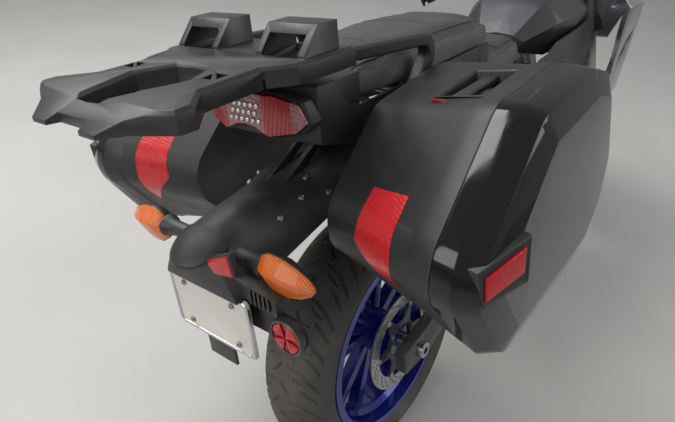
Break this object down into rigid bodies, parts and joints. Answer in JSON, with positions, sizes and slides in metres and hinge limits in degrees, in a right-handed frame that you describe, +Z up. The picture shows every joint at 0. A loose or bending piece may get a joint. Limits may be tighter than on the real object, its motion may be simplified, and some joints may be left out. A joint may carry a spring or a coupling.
{
  "type": "sport touring motorcycle",
  "caption": "Sport touring motorcycle on its side stand, with hard side cases, a luggage rack, a tall screen and its bars on the left stop.",
  "frame": {"origin": "on the ground, under the middle of the whole machine's box as it stands leaning on its side stand", "axes": "+X forward, +Y to the rider's left, +Z up; the machine leans 11 degrees towards +Y"},
  "size_m": [2.2537, 0.8946, 1.3739],
  "materials": {
    "alloy": "bead-blasted aluminium",
    "amber_lens": "ribbed amber lens",
    "black_metal": "satin black paint",
    "black_plastic": "fine-grained matt black",
    "case_lid_black": "polished black",
    "chain_steel": "oiled steel links",
    "disc_steel": "ground steel with drilled holes",
    "engine_metal": "dark grey crackle paint",
    "exhaust_steel": "heat-tinted stainless steel",
    "fairing_paint": "satin silver-grey paint on moulded plastic",
    "grip_rubber": "soft ribbed rubber",
    "lamp_glass": "clear lamp cover",
    "plate_white": "blank white plate",
    "red_lens": "clear red lens",
    "screen_clear": "lightly tinted clear screen",
    "seat_cover": "dark grey grained seat cover",
    "tank_paint": "satin silver-grey paint",
    "tyre_rubber": "dusty black road tyre",
    "wheel_blue": "deep metallic blue"
  },
  "bodies": {
    "root": {"chain": "chain_steel", "rear_axle": "disc_steel", "swingarm": "black_metal", "frame": "black_metal", "subframe": "black_metal", "engine": "engine_metal", "engine_covers": "engine_metal", "exhaust": "exhaust_steel", "radiator": "black_metal", "rear_shock": "black_metal", "rear_caliper": "alloy", "fuel_tank": "tank_paint", "rider_seat": "seat_cover", "pillion_seat": "seat_cover", "tail_lamp": "red_lens", "tail_cowl": "black_plastic", "rear_fender": "black_plastic", "number_plate": "plate_white", "rear_reflector": "red_lens", "rear_indicators": "amber_lens", "luggage_rack": "black_plastic", "case_shell_right": "black_plastic", "case_shell_left": "black_plastic", "case_mounts": "black_plastic", "footrests": "alloy", "fairing_stay": "black_metal", "nose_cowl": "fairing_paint", "side_cowls": "fairing_paint", "headlamps": "lamp_glass", "windscreen": "screen_clear", "instruments": "black_plastic"},
    "steering": {"front_axle": "disc_steel", "fork_legs": "alloy", "fork_yokes": "black_metal", "handlebar": "black_metal", "grips": "grip_rubber", "hand_guards": "black_plastic", "mirrors": "black_plastic", "front_fender": "black_plastic", "front_calipers": "alloy"},
    "front_wheel": {"front_wheel": "wheel_blue", "front_tyre": "tyre_rubber", "front_discs": "disc_steel"},
    "rear_wheel": {"rear_wheel": "wheel_blue", "rear_tyre": "tyre_rubber", "rear_disc": "disc_steel", "rear_sprocket": "chain_steel"},
    "side_stand": {"side_stand": "black_metal"},
    "case_lid_left": {"case_lid_left": "case_lid_black"},
    "case_lid_right": {"case_lid_right": "case_lid_black"}
  },
  "joints": [
    {"name": "steering", "type": "hinge", "parent": "root", "child": "steering", "pos_m": [0.83761, -0.09969, 0.27544], "axis": [-0.4022, 0.1743, 0.8988], "range_deg": [-68, 0]},
    {"name": "front_wheel_spin", "type": "hinge", "parent": "steering", "child": "front_wheel", "pos_m": [0.86086, -0.08088, 0.2822], "axis": [-0.5128, 0.7704, -0.3789], "continuous": true},
    {"name": "rear_wheel_spin", "type": "hinge", "parent": "root", "child": "rear_wheel", "pos_m": [-0.57423, -0.09445, 0.30951], "axis": [-0.001, 0.9816, -0.1908], "continuous": true},
    {"name": "side_stand_fold", "type": "hinge", "parent": "root", "child": "side_stand", "pos_m": [0.02518, 0.03581, 0.19051], "axis": [0.0023, 0.891, 0.454], "range_deg": [0, 100]},
    {"name": "right_lid_hinge", "type": "hinge", "parent": "root", "child": "case_lid_right", "pos_m": [-0.6587, -0.38868, 0.68294], "axis": [0.9994, -0.0056, -0.0339], "range_deg": [0, 80]},
    {"name": "left_lid_hinge", "type": "hinge", "parent": "root", "child": "case_lid_left", "pos_m": [-0.65939, 0.31809, 0.54556], "axis": [-0.9994, 0.0056, 0.0339], "range_deg": [0, 80]}
  ]
}
